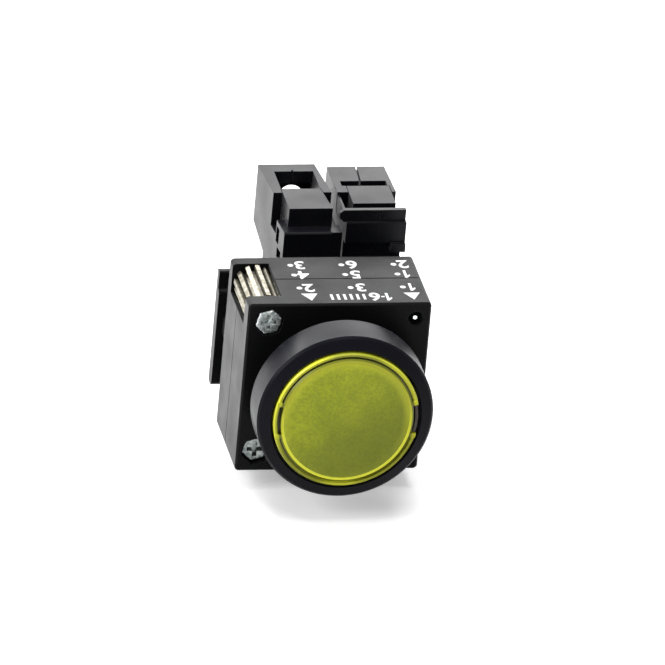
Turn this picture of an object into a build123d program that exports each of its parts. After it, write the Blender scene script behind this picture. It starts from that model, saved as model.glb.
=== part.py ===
from build123d import *
import math
import os

os.makedirs("parts", exist_ok=True)

# Illuminated pushbutton, 22 mm series, millimetres.
# X to the right, Y from the button towards the wiring side, Z up.
# The origin lies on the button's axis, at the face of the holder that meets the panel.

# ---------------------------------------------------------------- clearances
run_fit = 0.08        # radial gap of a part that turns or slides in its bearing
free_gap = 0.3        # gap between parts that move past each other
touch_gap = 0.05      # gap that a part bridges before it pushes the next one
thread_gap = 0.05     # radial gap of a screw in its thread

# ---------------------------------------------------------------- button and bezel
collar_r = 11.0       # goes through the 22.3 mm hole of the panel
collar_wall = 1.4
collar_bore_r = collar_r - collar_wall
bezel_over = 3.4      # bezel beyond the collar
bezel_wall = 2.2
bezel_r = collar_r + bezel_over
bezel_in_r = bezel_r - bezel_wall
bezel_back_y = -4.4
bezel_edge_y = bezel_back_y - 6.0
bezel_lip_y = bezel_edge_y - 0.9
flange_t = 1.1
flange_r = bezel_r - 0.6
gasket_t = 0.5
gasket_r = flange_r - 0.2
lens_r = bezel_in_r - free_gap
lens_face_r = lens_r - 0.9
lens_groove_w = 0.35
lens_groove_d = 0.6
lens_y = bezel_lip_y - 0.55
lens_t = 1.1
lens_skirt_y = lens_y + 2.8
lens_skirt_in_r = lens_r - 0.85
notch_deg = 13.0      # half the width of a clip notch
slit_w = 0.65
rib_deg = 3.5
legend_t = 0.6
press_travel = 3.2

# ---------------------------------------------------------------- holder
holder_w = 2 * (collar_r + 4.0)
holder_d = 17.0
seam_y = holder_d - 8.0
corner_fillet = 0.7
holder_bore_r = collar_r + 0.1
rear_bore_r = collar_r + free_gap
ring_y0 = seam_y + 0.2
ring_y1 = ring_y0 + 2.0
ring_in_r = collar_r + 0.35
ring_r = ring_in_r + 1.15
ring_pocket_r = ring_r + run_fit
ring_pocket_y = ring_y1 + 0.2
collar_end_y = ring_y1 + 1.4
lug_count = 8
lug_r = collar_r - 0.4
lug_deg = 18.0
slot_deg = 24.0
lock_deg = 22.5
web_r0 = ring_r + 0.8
web_r1 = web_r0 + 0.8
web_deg = 14.0
wall_y0 = holder_d - 3.6
hook_w = 3.0
hook_z0 = 7.8
hook_z1 = 8.9
barb_z = 9.4
handle_x0 = -holder_w / 2 - 0.2
handle_x1 = -web_r0
handle_y0 = holder_d + 5.3
handle_y1 = handle_y0 + 2.3
handle_z0 = -11.0
handle_z1 = 9.3
handle_tip = 3.0

# ---------------------------------------------------------------- pusher behind the cap
carrier_y = lens_y + lens_t + legend_t
carrier_tube_r = collar_bore_r - free_gap
carrier_tube_in_r = carrier_tube_r - 1.7
carrier_neck_r = carrier_tube_r - 1.4
carrier_neck_in_r = carrier_neck_r - 1.3
carrier_neck_y = seam_y + 0.9
key_w = 1.6
key_r = collar_bore_r + 0.4
arm_x1 = carrier_neck_r - 0.1
arm_x0 = arm_x1 - 1.1
arm_z = 2.0
arm_end_y = wall_y0 + free_gap
barb_x = arm_x1 + 1.1
seat_y = ring_pocket_y
seat_t = 1.0
seat_in_r = arm_x1 + 0.5
spring_wire = 0.6
spring_r = carrier_tube_r - 0.5
bay_pitch = arm_x0 + 3.3
bay_x = (-bay_pitch, 0.0, bay_pitch)
window_x = barb_x + 0.4
window_z = arm_z + 1.4

# ---------------------------------------------------------------- clamp screws
niche_x = -(holder_w / 2 - 5.85)
niche_z = holder_w / 2 - 5.0
niche_y0 = 3.1
niche_y1 = holder_d - 2.4
shaft_r = 1.92
foot_r = 2.15
foot_lobe_r = 0.6
foot_lobe_at = 1.75
foot_len = 3.4
stem_r = 1.5
stem_end_y = niche_y1 - 1.25
flutes = 12
flute_w = 1.0
flute_root_w = 0.55
# centre, radius, flute depth and front of the fluted part, and front face of its foot
upper_clamp = (-(holder_w / 2 - 3.5), holder_w / 2 - 3.25, 3.2, 1.05, niche_y0 + 0.5, 0.05)
lower_clamp = (-(holder_w / 2 - 3.2), -(holder_w / 2 - 3.5), 2.3, 0.45, 4.8, 1.0)
frame_screw_x = holder_w / 2 - 2.5
frame_screw_z = holder_w / 2 - 2.85
frame_screw_r = 1.0
frame_tip_r = 0.85

# ---------------------------------------------------------------- blocks behind the holder
half_w = bay_pitch / 2 - 0.35
lamp_x = -0.3         # centre of the lamp holder's housing
contact_x = bay_pitch + 0.1
nose_z = 10.5
body_z = 15.1
tower_z = 18.4
split_y = holder_d + 16.3   # front and rear housing meet here
mid_y = split_y + 3.2
cavity_z = 8.6
cavity_y0 = holder_d + 1.4
cavity_y1 = split_y + 2.2
chamber_z = 9.9
screw_z = 13.2
access_r = 2.0        # hole for the screwdriver, behind each terminal screw
access_d = 1.25
recess_z = 16.4       # room for the screw heads, under the top of the back wall
slit_d = 2.4
groove_d = 0.7
terminal_y0 = split_y + 0.1
terminal_t = 0.8
terminal_block_t = 1.6
terminal_half_w = half_w - 2.05
screw_r = 1.75
screw_head_r = half_w - 2.05
lamp_body_y = holder_d + 8.3
contact_body_y = holder_d + 9.0
lamp_tower_y = split_y + 10.5
contact_tower_y = split_y + 9.45
# left and right wall of each block, at the front of its body, at the split and at the back
lamp_left = (lamp_x - half_w + 0.35, lamp_x - half_w - 0.25, lamp_x - half_w - 0.95)
lamp_right = (lamp_x + half_w, lamp_x + half_w + 0.05, lamp_x + half_w - 0.95)
contact_left = (contact_x - half_w - 0.05, contact_x - half_w - 0.1, contact_x - half_w - 0.15)
contact_right = (contact_x + half_w + 0.15, contact_x + half_w + 0.3, contact_x + half_w + 0.05)
lamp_in0 = lamp_x - half_w + 1.25
lamp_in1 = lamp_x + half_w - 1.6
contact_in0 = contact_x - half_w + 1.05
contact_in1 = contact_x + half_w - 0.7
# raised plates: front, back, then left and right edge at the front and at the back
lamp_plate = (lamp_body_y + 2.15, split_y + 1.4, lamp_in0 + 0.05, lamp_in1 + 0.8, lamp_in0, lamp_in1 + 0.05)
contact_plate = (contact_body_y + 3.15, split_y + 2.25,
                 contact_in0 + 0.7, contact_in1 + 0.2, contact_in0 + 0.75, contact_in1 + 0.25)
lamp_wire_y = split_y + 7.7       # inner face of each tower's back wall
contact_wire_y = split_y + 4.0
lamp_clamp_y = split_y + 2.8
contact_clamp_y = split_y + 3.4

# ---------------------------------------------------------------- lamp and its socket
snout_r = carrier_neck_in_r - 0.6
snout_in_r = snout_r - 0.9
snout_y = holder_d - 11.0
window_r = snout_r + free_gap
socket_in_r = snout_in_r - 0.35
cap_r = socket_in_r - 0.25
bulb_r = cap_r + 0.2
glass_t = 0.4
lamp_leg_z = 8.2
glass_y = holder_d - 23.2

# ---------------------------------------------------------------- contact
stem_x0 = contact_in0 + 0.45
stem_x1 = stem_x0 + 1.45
carriage_x1 = contact_in1 - 0.8
plunger_y0 = arm_end_y + 0.2
carriage_y0 = cavity_y0 + free_gap
carriage_y1 = carriage_y0 + 4.0
carriage_z = 3.0
rail_w = 1.05
bar_y0 = split_y - 3.3
bar_t = 1.0
bridge_t = 0.8
bridge_z = 7.6
bridge_half_w = half_w - 2.95
bridge_y1 = bar_y0 - touch_gap
rivet_r = 1.3
rivet_t = 0.6
rivet_z = 6.2
bridge_travel = 0.7 * press_travel


# ---------------------------------------------------------------- helpers
def across(y):
    """Plane square to the button's axis; extrude by a negative amount to go back."""
    return Plane.XZ.offset(-y)


def slab(x0, x1, y0, y1, z0, z1, mode=Mode.ADD):
    """Box between two corners, added to or cut from the part being built."""
    with Locations(((x0 + x1) / 2, (y0 + y1) / 2, (z0 + z1) / 2)):
        Box(x1 - x0, y1 - y0, z1 - z0, mode=mode)


def rod(x, z, r, y0, y1, mode=Mode.ADD):
    """Round bar along the button's axis."""
    with Locations((x, (y0 + y1) / 2, z)):
        Cylinder(r, y1 - y0, rotation=(90, 0, 0), mode=mode)


def cross_recess(x, z, y0, y1, span, bar):
    """Recess for a cross-head screwdriver."""
    slab(x - span / 2, x + span / 2, y0, y1, z - bar / 2, z + bar / 2, mode=Mode.SUBTRACT)
    slab(x - bar / 2, x + bar / 2, y0, y1, z - span / 2, z + span / 2, mode=Mode.SUBTRACT)


def sector(r0, r1, from_deg, to_deg):
    """Points of a ring sector, in the X-Z plane, angles from +X towards +Z."""
    steps = max(2, int(abs(to_deg - from_deg) / 3.0))
    angles = [math.radians(from_deg + (to_deg - from_deg) * i / steps) for i in range(steps + 1)]
    outer = [(r1 * math.cos(a), r1 * math.sin(a)) for a in angles]
    inner = [(r0 * math.cos(a), r0 * math.sin(a)) for a in reversed(angles)]
    return outer + inner


def coil(y0, y1, mean_r, wire, turns, x=0.0, z=0.0):
    """Compression spring between two faces."""
    length = y1 - y0 - wire
    with BuildPart() as spring:
        with BuildLine() as path:
            Helix(length / turns, length, mean_r, center=(x, y0 + wire / 2, z), direction=(0, 1, 0))
        with BuildSketch(Plane(origin=path.line @ 0, z_dir=path.line % 0)):
            Circle(wire / 2)
        sweep()
    return spring.part


# ================================================================ button
# Translucent cap, with a raised face, a ring groove and a clip notch at each side.
with BuildPart() as lens_cap:
    with BuildSketch(Plane.XY):
        Polygon(
            (0, lens_y),
            (lens_face_r - 0.25, lens_y),
            (lens_face_r, lens_y + 0.25),
            (lens_face_r, lens_y + lens_groove_d),
            (lens_face_r + lens_groove_w, lens_y + lens_groove_d),
            (lens_face_r + lens_groove_w, lens_y + 0.2),
            (lens_r - 0.2, lens_y + 0.15),
            (lens_r, lens_y + 0.4),
            (lens_r, lens_skirt_y),
            (lens_skirt_in_r, lens_skirt_y),
            (lens_skirt_in_r, lens_y + lens_t),
            (0, lens_y + lens_t),
            align=None,
        )
    revolve(axis=Axis.Y)
    # the left notch is a blind slit behind the rim, the right one is open for the carrier's clip
    for side, notch_in_r, notch_out_r, notch_d in (
        (180, lens_r - 0.5 - slit_w, lens_r - 0.5, 0.95),
        (0, lens_skirt_in_r, lens_r + 1, 6.0),
    ):
        for end in (-1, 1):
            with BuildSketch(across(lens_y + 0.1)):
                rib = side + end * (notch_deg + rib_deg / 2)
                Polygon(
                    *sector(lens_face_r - 0.3, lens_r - 0.05, rib - rib_deg / 2, rib + rib_deg / 2),
                    align=None,
                )
            extrude(amount=-(lens_groove_d + 0.2))
        with BuildSketch(across(lens_y - 1)):
            Polygon(*sector(notch_in_r, notch_out_r, side - notch_deg, side + notch_deg), align=None)
        extrude(amount=-(notch_d + 1), mode=Mode.SUBTRACT)

# White diffuser between the cap and its carrier.
with BuildPart() as legend_disc:
    rod(0, 0, lens_skirt_in_r - 0.1, lens_y + lens_t, carrier_y)

# Pusher: flange for the cap, guide tube with keys, and two snap arms that push the contacts.
with BuildPart() as button_carrier:
    with BuildSketch(Plane.XY):
        Polygon(
            (carrier_tube_in_r, carrier_y),
            (lens_skirt_in_r - 0.1, carrier_y),
            (lens_skirt_in_r - 0.1, lens_skirt_y),
            (carrier_tube_r, lens_skirt_y),
            (carrier_tube_r, 0),
            (carrier_neck_r, 0),
            (carrier_neck_r, carrier_neck_y),
            (carrier_neck_in_r, carrier_neck_y),
            (carrier_neck_in_r, -1),
            (carrier_tube_in_r, -2),
            align=None,
        )
    revolve(axis=Axis.Y)
    for side in (-1, 1):
        slab(-key_w / 2, key_w / 2, lens_skirt_y + 0.1, -1,
             *sorted((side * (carrier_tube_r - 0.3), side * key_r)))
        slab(*sorted((side * arm_x0, side * arm_x1)), carrier_neck_y - 1, arm_end_y, -arm_z, arm_z)
        slab(*sorted((side * arm_x0, side * barb_x)), seat_y + seat_t + 0.1, arm_end_y, -arm_z, arm_z)
    # clip that shows in the open notch of the cap
    with BuildSketch(across(lens_y + 0.55)):
        Polygon(*sector(lens_skirt_in_r + 0.25, lens_r - 0.15, 0.8 - notch_deg, notch_deg - 0.8), align=None)
    extrude(amount=-(lens_skirt_y - lens_y - 0.55))
    with BuildSketch(across(lens_skirt_y - 0.6)):
        Polygon(*sector(lens_skirt_in_r - 0.4, lens_r - 0.15, 0.8 - notch_deg, notch_deg - 0.8), align=None)
    extrude(amount=-0.6)

# Round front ring of the housing.
with BuildPart() as bezel_ring:
    with BuildSketch(Plane.XY):
        Polygon(
            (bezel_in_r, bezel_back_y - flange_t),
            (bezel_in_r, bezel_lip_y + 0.2),
            (bezel_in_r + 0.2, bezel_lip_y),
            (bezel_r - 0.35, bezel_edge_y - 0.25),
            (bezel_r, bezel_edge_y + 0.15),
            (bezel_r, bezel_back_y - 0.15),
            (bezel_r - 0.15, bezel_back_y),
            (flange_r, bezel_back_y),
            (flange_r, bezel_back_y - flange_t),
            align=None,
        )
    revolve(axis=Axis.Y)

# Housing of the button: flange behind the ring, collar through the panel, bayonet rim.
with BuildPart() as actuator_body:
    with BuildSketch(Plane.XY):
        Polygon(
            (collar_bore_r, bezel_back_y - flange_t),
            (flange_r, bezel_back_y - flange_t),
            (flange_r, bezel_back_y),
            (collar_r, bezel_back_y),
            (collar_r, seam_y),
            (lug_r - free_gap, seam_y),
            (lug_r - free_gap, ring_y1 + 0.1),
            (collar_r, ring_y1 + 0.1),
            (collar_r, collar_end_y - 0.3),
            (collar_r - 0.3, collar_end_y),
            (collar_bore_r, collar_end_y),
            align=None,
        )
    revolve(axis=Axis.Y)
    for n in range(lug_count):
        with BuildSketch(across(ring_y1)):
            middle = (n + 0.5) * 360 / lug_count
            Polygon(
                *sector(lug_r - free_gap, collar_r + 1, middle - slot_deg / 2, middle + slot_deg / 2),
                align=None,
            )
        extrude(amount=-(collar_end_y - ring_y1 + 1), mode=Mode.SUBTRACT)
    for side in (-1, 1):
        slab(
            -key_w / 2 - free_gap, key_w / 2 + free_gap, bezel_back_y - flange_t - 1, 4,
            *sorted((side * (collar_bore_r - 0.6), side * (key_r + free_gap))), mode=Mode.SUBTRACT,
        )

with BuildPart() as panel_gasket:
    with BuildSketch(Plane.XY):
        Polygon(
            (collar_r + 0.1, bezel_back_y),
            (gasket_r, bezel_back_y),
            (gasket_r, bezel_back_y + gasket_t),
            (collar_r + 0.1, bezel_back_y + gasket_t),
            align=None,
        )
    revolve(axis=Axis.Y)

with BuildPart() as spring_seat:
    rod(0, 0, collar_bore_r, seat_y, seat_y + seat_t)
    rod(0, 0, seat_in_r, seat_y, seat_y + seat_t, mode=Mode.SUBTRACT)

return_spring = coil(touch_gap, seat_y - touch_gap, spring_r, spring_wire, 6)


# ================================================================ holder
def screw_pockets(y0, y1):
    """Open corner for the upper clamp screw and closed bore for the lower one."""
    slab(-holder_w, niche_x, y0, y1, niche_z, holder_w, mode=Mode.SUBTRACT)
    for x, z, r, flute_d, front_y, foot_y in (upper_clamp, lower_clamp):
        rod(x, z, r + free_gap, max(y0, front_y - free_gap), y1, mode=Mode.SUBTRACT)


with BuildPart() as holder_front_frame:
    with BuildSketch(across(0)):
        RectangleRounded(holder_w, holder_w, corner_fillet)
    extrude(amount=-seam_y)
    chamfer(holder_front_frame.faces().sort_by(Axis.Y)[0].edges(), 0.3)
    chamfer(holder_front_frame.faces().sort_by(Axis.Y)[-1].edges(), 0.12)
    rod(0, 0, holder_bore_r, -1, seam_y + 1, mode=Mode.SUBTRACT)
    screw_pockets(niche_y0, seam_y + 1)
    for x, z, r, flute_d, front_y, foot_y in (upper_clamp, lower_clamp):
        with BuildSketch(across(-1)):
            with Locations((x, z)):
                Circle(foot_r + run_fit)
                with PolarLocations(foot_lobe_at, 6, start_angle=15):
                    Circle(foot_lobe_r + run_fit)
        extrude(amount=-(front_y + 1), mode=Mode.SUBTRACT)
    for side in (-1, 1):
        rod(frame_screw_x, side * frame_screw_z, frame_screw_r + 0.25, -1, seam_y + 1, mode=Mode.SUBTRACT)

with BuildPart() as holder_rear_frame:
    with BuildSketch(across(seam_y)):
        RectangleRounded(holder_w, holder_w, corner_fillet)
    extrude(amount=-(holder_d - seam_y))
    chamfer(holder_rear_frame.faces().sort_by(Axis.Y)[0].edges(), 0.12)
    chamfer(holder_rear_frame.faces().sort_by(Axis.Y)[-1].edges(), 0.3)
    rod(0, 0, ring_pocket_r, seam_y - 1, ring_pocket_y, mode=Mode.SUBTRACT)
    rod(0, 0, rear_bore_r, seam_y, wall_y0, mode=Mode.SUBTRACT)
    rod(0, 0, window_r, wall_y0 - 1, holder_d + 1, mode=Mode.SUBTRACT)
    slab(-window_x, window_x, wall_y0 - 1, holder_d + 1, -window_z, window_z, mode=Mode.SUBTRACT)
    screw_pockets(seam_y - 1, niche_y1)
    # slot in which the web of the locking ring swings
    with BuildSketch(across(seam_y - 1)):
        Polygon(*sector(ring_in_r, web_r1 + free_gap, 180 + 9, 180 - web_deg / 2 - lock_deg - 2), align=None)
    extrude(amount=-(ring_pocket_y - seam_y + 1), mode=Mode.SUBTRACT)
    with BuildSketch(across(seam_y)):
        Polygon(
            *sector(web_r0 - free_gap, web_r1 + free_gap, 180 + 9, 180 - web_deg / 2 - lock_deg - 2),
            align=None,
        )
    extrude(amount=-(holder_d - seam_y + 1), mode=Mode.SUBTRACT)
    for x, z, r, flute_d, front_y, foot_y in (upper_clamp, lower_clamp):
        rod(x, z, shaft_r + run_fit, niche_y1 - 1, holder_d + 1, mode=Mode.SUBTRACT)
    for side in (-1, 1):
        rod(frame_screw_x, side * frame_screw_z, frame_screw_r + 0.2, seam_y - 1, holder_d + 1,
            mode=Mode.SUBTRACT)
        rod(frame_screw_x, side * frame_screw_z, 2.1, holder_d - 1.6, holder_d + 1, mode=Mode.SUBTRACT)
        for x in bay_x:
            slab(
                x - hook_w / 2 - 0.2, x + hook_w / 2 + 0.2, wall_y0, holder_d + 1,
                *sorted((side * (hook_z0 - 0.2), side * (hook_z1 + 0.3))), mode=Mode.SUBTRACT,
            )
            slab(
                x - hook_w / 2 - 0.2, x + hook_w / 2 + 0.2, wall_y0, wall_y0 + 2.0,
                *sorted((side * (hook_z0 - 0.2), side * (barb_z + 0.3))), mode=Mode.SUBTRACT,
            )

# Bayonet ring with the handle that locks the button in its holder.
with BuildPart() as locking_ring:
    rod(0, 0, ring_r, ring_y0, ring_y1)
    rod(0, 0, ring_in_r, ring_y0 - 1, ring_y1 + 1, mode=Mode.SUBTRACT)
    for n in range(lug_count):
        middle = n * 360 / lug_count
        with BuildSketch(across(ring_y0)):
            Polygon(*sector(lug_r, ring_in_r + 0.2, middle - lug_deg / 2, middle + lug_deg / 2), align=None)
        extrude(amount=-(ring_y1 - ring_y0))
    with BuildSketch(across(ring_y0)):
        Polygon(*sector(ring_r - 0.2, web_r1, 180 - web_deg / 2, 180 + web_deg / 2), align=None)
    extrude(amount=-(ring_y1 - ring_y0))
    with BuildSketch(across(ring_y0)):
        Polygon(*sector(web_r0, web_r1, 180 - web_deg / 2, 180 + web_deg / 2), align=None)
    extrude(amount=-(handle_y0 - ring_y0 + 0.5))
    with BuildSketch(Plane.YZ.offset(handle_x0)):
        with Locations(((handle_y0 + handle_y1) / 2, (handle_z0 + handle_z1 - handle_tip) / 2)):
            RectangleRounded(handle_y1 - handle_y0, handle_z1 - handle_tip - handle_z0, 0.9)
        with Locations((handle_y1 - 0.7, handle_z1 - 0.7 * handle_tip)):
            RectangleRounded(1.4, 1.4 * handle_tip, 0.4)
    extrude(amount=handle_x1 - handle_x0)


def clamp_spindle(clamp):
    """Fluted nut of a clamp screw, turned from behind."""
    x, z, r, flute_d, front_y, foot_y = clamp
    with BuildPart() as spindle:
        with BuildSketch(across(front_y)):
            with Locations((x, z)):
                Circle(r)
                with PolarLocations(r, flutes, start_angle=8):
                    wide = flute_w * r / upper_clamp[2] / 2
                    narrow = flute_root_w * r / upper_clamp[2] / 2
                    Polygon(
                        (0.1, wide), (-flute_d, narrow), (-flute_d, -narrow), (0.1, -wide),
                        align=None, mode=Mode.SUBTRACT,
                    )
        extrude(amount=-(niche_y1 - front_y - free_gap))
        rod(x, z, shaft_r, niche_y1 - 1, holder_d + 0.2)
        rod(x, z, stem_r + thread_gap, front_y - 1, stem_end_y + 0.25, mode=Mode.SUBTRACT)
        cross_recess(x, z, holder_d - 0.9, holder_d + 1, 2.6, 0.6)
    return spindle.part


def clamp_foot(clamp):
    """Lobed foot that the clamp screw pushes against the panel."""
    x, z, r, flute_d, front_y, foot_y = clamp
    with BuildPart() as foot:
        with BuildSketch(across(foot_y)):
            with Locations((x, z)):
                Circle(foot_r)
                with PolarLocations(foot_lobe_at, 6, start_angle=15):
                    Circle(foot_lobe_r)
        extrude(amount=-foot_len)
        chamfer(foot.faces().sort_by(Axis.Y)[0].edges(), 0.3)
        rod(x, z, stem_r, foot_y + foot_len - 0.5, stem_end_y + foot_y - lower_clamp[5])
        cross_recess(x, z, foot_y - 1, foot_y + 0.9, 2.6, 0.7)
    return foot.part


# Two self-tapping screws hold the front and the rear frame together.
with BuildPart() as frame_screws:
    for side in (-1, 1):
        z = side * frame_screw_z
        with Locations((frame_screw_x, 1.0, z)):
            Cone(frame_tip_r, 0.35, 1.0, rotation=(90, 0, 0))
        rod(frame_screw_x, z, frame_tip_r, 1.5, 3.0)
        rod(frame_screw_x, z, frame_screw_r, 2.9, holder_d - 1.4)
        rod(frame_screw_x, z, 1.9, holder_d - 1.6, holder_d - 0.2)
        cross_recess(frame_screw_x, z, holder_d - 1.0, holder_d + 1, 2.4, 0.5)


# ================================================================ parts shared by both blocks
def plate_outline(plate, margin):
    """Outline of a raised plate, wider by a margin at its sides and back."""
    y0, y1, left0, right0, left1, right1 = plate
    return (
        (left0 - margin, y0),
        (left1 - margin, y1 + margin / 2),
        (right1 + margin, y1 + margin / 2),
        (right0 + margin, y0),
    )


def rear_housing(centre, left, right, in0, in1, rear_y, plate, wire_y, groove, depth):
    """Back of a block: two towers with the terminals and a lower middle between them."""
    with BuildPart() as housing:
        with BuildSketch(Plane.YZ.offset(-holder_w)):
            Polygon(
                (split_y, -tower_z),
                (rear_y, -tower_z),
                (rear_y, -8.5),
                (mid_y, -6.2),
                (mid_y, 6.2),
                (rear_y, 8.5),
                (rear_y, tower_z),
                (split_y, tower_z),
                align=None,
            )
        extrude(amount=2 * holder_w)
        with BuildSketch(Plane.XY.offset(-tower_z - 1)):
            Polygon((left[1], split_y), (left[2], rear_y), (right[2], rear_y), (right[1], split_y),
                    align=None)
        extrude(amount=2 * tower_z + 2, mode=Mode.INTERSECT)
        chamfer(housing.edges().group_by(Axis.Y)[-1], 0.18)
        slab(in0, in1, split_y - 1, cavity_y1, -cavity_z, cavity_z, mode=Mode.SUBTRACT)
        for side in (-1, 1):
            top = side * (tower_z + 1)
            slab(in0, in1, split_y - 1, wire_y, *sorted((side * chamber_z, side * body_z)),
                 mode=Mode.SUBTRACT)
            slab(in0, in1, wire_y - 1, rear_y - access_d, *sorted((side * chamber_z, side * recess_z)),
                 mode=Mode.SUBTRACT)
            slab(in0, in1, plate[1] + 0.05, wire_y, *sorted((side * (body_z - 0.2), top)),
                 mode=Mode.SUBTRACT)
            with BuildSketch(Plane.XY.offset(side * (body_z - 0.2))):
                Polygon(*plate_outline(plate, 0.1), align=None)
            extrude(amount=side * 5, mode=Mode.SUBTRACT)
            slab(centre - terminal_half_w - 0.1, centre + terminal_half_w + 0.1, split_y - 1,
                 terminal_y0 + terminal_t + 0.1, *sorted((side * 8, side * 10.2)), mode=Mode.SUBTRACT)
            rod(centre, side * screw_z, access_r, rear_y - access_d - 1, rear_y + 1, mode=Mode.SUBTRACT)
            with BuildSketch(Plane.XY.offset(side * (tower_z - depth))):
                Polygon(*groove, align=None)
            extrude(amount=side * 5, mode=Mode.SUBTRACT)
    return housing.part


def terminal_block(centre, side):
    """Tapped end of a terminal, added to the part being built."""
    z0, z1 = sorted((side * (chamber_z + 0.05), side * (body_z - 0.15)))
    slab(centre - terminal_half_w, centre + terminal_half_w,
         terminal_y0, terminal_y0 + terminal_block_t, z0, z1)
    slab(centre - 1.6, centre + 1.6, terminal_y0, terminal_y0 + terminal_t,
         *sorted((side * (cavity_z - 1.2), side * (chamber_z + 0.5))))
    rod(centre, side * screw_z, screw_r + thread_gap, terminal_y0 - 1, terminal_y0 + 3, mode=Mode.SUBTRACT)


def terminal_screws(centre, clamp_y):
    """Upper and lower terminal screw, heads towards the back."""
    with BuildPart() as screws:
        for side in (-1, 1):
            z = side * screw_z
            rod(centre, z, screw_r, terminal_y0, clamp_y + 1.2)
            rod(centre, z, screw_head_r, clamp_y + 0.9, clamp_y + 2.7)
            cross_recess(centre, z, clamp_y + 1.8, clamp_y + 3, 3.2, 0.7)
    return screws.part


def clamp_plates(centre, clamp_y):
    """Square washers that press the wires on the terminals."""
    with BuildPart() as plates:
        for side in (-1, 1):
            z = side * screw_z
            slab(centre - terminal_half_w - 0.1, centre + terminal_half_w + 0.1, clamp_y, clamp_y + 0.9,
                 z - 2.6, z + 2.6)
            rod(centre, z, screw_r + thread_gap, clamp_y - 1, clamp_y + 2, mode=Mode.SUBTRACT)
    return plates.part


def hooks(x):
    """Snap hooks on the nose of a block, for the pockets of the holder."""
    for side in (-1, 1):
        slab(x - hook_w / 2, x + hook_w / 2, wall_y0 + 0.4, holder_d + 0.5,
             *sorted((side * hook_z0, side * hook_z1)))
        slab(x - hook_w / 2, x + hook_w / 2, wall_y0 + 0.9, wall_y0 + 1.8,
             *sorted((side * hook_z0, side * barb_z)))


# ================================================================ lamp holder
with BuildPart() as lamp_front_housing:
    slab(lamp_left[0], lamp_right[0], holder_d, lamp_body_y + 1, -nose_z, nose_z)
    with BuildSketch(Plane.XY.offset(-body_z)):
        Polygon((lamp_left[0], lamp_body_y), (lamp_left[1], split_y), (lamp_right[1], split_y),
                (lamp_right[0], lamp_body_y), align=None)
    extrude(amount=2 * body_z)
    chamfer(lamp_front_housing.edges().filter_by(Axis.X).group_by(Axis.Y)[1], 0.25)
    slab(lamp_right[0] - 1, lamp_right[0] + 0.6, lamp_body_y, lamp_body_y + 2.7, -body_z, body_z)
    for side in (-1, 1):
        with BuildSketch(Plane.XY.offset(side * body_z)):
            Polygon(*plate_outline(lamp_plate, 0), align=None)
        extrude(amount=side * (tower_z - body_z))
        # open corner beside the raised plate, then two slots in the left wall
        slab(lamp_left[1] - 1, lamp_plate[4] - 0.05, lamp_body_y + 4.8, split_y + 1,
             *sorted((side * 12.6, side * (body_z + 1))), mode=Mode.SUBTRACT)
        slab(lamp_left[1] - 1, lamp_left[0] + 0.4, lamp_body_y + 2.9, lamp_body_y + 4.5,
             *sorted((side * 11.5, side * 14.2)), mode=Mode.SUBTRACT)
        slab(lamp_left[1] - 1, lamp_left[0] + 0.4, lamp_body_y + 1.3, lamp_body_y + 3.5,
             *sorted((side * 9.2, side * 10.9)), mode=Mode.SUBTRACT)
    slab(lamp_in0, lamp_in1, cavity_y0, split_y + 1, -cavity_z, cavity_z, mode=Mode.SUBTRACT)
    hooks(bay_x[1])
    # tube that carries the lamp socket through the holder
    rod(0, 0, snout_r, snout_y, holder_d)
    rod(0, 0, snout_in_r, snout_y - 1, holder_d, mode=Mode.SUBTRACT)
    rod(0, 0, 2.4, holder_d - 1, cavity_y0 + 1, mode=Mode.SUBTRACT)
    slab(-1.7, 1.7, holder_d - 1, cavity_y0 + 1, socket_in_r - 0.25, snout_in_r + 0.2, mode=Mode.SUBTRACT)

lamp_rear_housing = rear_housing(
    lamp_x, lamp_left, lamp_right, lamp_in0, lamp_in1, lamp_tower_y, lamp_plate, lamp_wire_y,
    ((-0.8, lamp_wire_y - 1), (-0.8, lamp_wire_y + 0.5), (-0.5, lamp_wire_y + 0.5), (-0.5, lamp_wire_y - 1)),
    slit_d,
)

with BuildPart() as lamp_terminal_upper:
    terminal_block(lamp_x, 1)
    slab(-1.5, 1.5, holder_d + 2.5, terminal_y0 + terminal_t, lamp_leg_z - 0.8, lamp_leg_z)
    slab(-1.5, 1.5, holder_d + 2.5, holder_d + 3.3, snout_in_r - touch_gap, lamp_leg_z)

with BuildPart() as lamp_terminal_lower:
    terminal_block(lamp_x, -1)
    slab(-1.5, 1.5, holder_d + 8.0, terminal_y0 + terminal_t, -lamp_leg_z, 0.8 - lamp_leg_z)
    slab(-1.5, 1.5, holder_d + 8.0, holder_d + 8.8, -lamp_leg_z, 1.8)
    rod(0, 0, 0.95, holder_d + 7, holder_d + 10, mode=Mode.SUBTRACT)

lamp_clamps = clamp_plates(lamp_x, lamp_clamp_y)
lamp_screws = terminal_screws(lamp_x, lamp_clamp_y)

with BuildPart() as lamp_socket:
    rod(0, 0, snout_in_r - touch_gap, snout_y + 1.0, holder_d)
    rod(0, 0, socket_in_r, snout_y, holder_d + 1, mode=Mode.SUBTRACT)
    for side in (-1, 1):
        slab(*sorted((side * (cap_r - 0.5), side * snout_r)), snout_y, snout_y + 5.6, -1.15, 1.15,
             mode=Mode.SUBTRACT)
        slab(*sorted((side * (cap_r - 0.5), side * snout_r)), snout_y + 3.4, snout_y + 5.6,
             *sorted((0, side * 2.6)), mode=Mode.SUBTRACT)
    slab(-1.5, 1.5, holder_d - 1, holder_d + 4.0, socket_in_r, snout_in_r - touch_gap)

with BuildPart() as lamp_centre_contact:
    rod(0, 0, 1.9, holder_d + 0.85, holder_d + 2.0)
    rod(0, 0, 0.9, holder_d + 1.5, holder_d + 9.6)

lamp_contact_spring = coil(holder_d + 2.05, holder_d + 7.95, 1.4, 0.35, 6)

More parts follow.
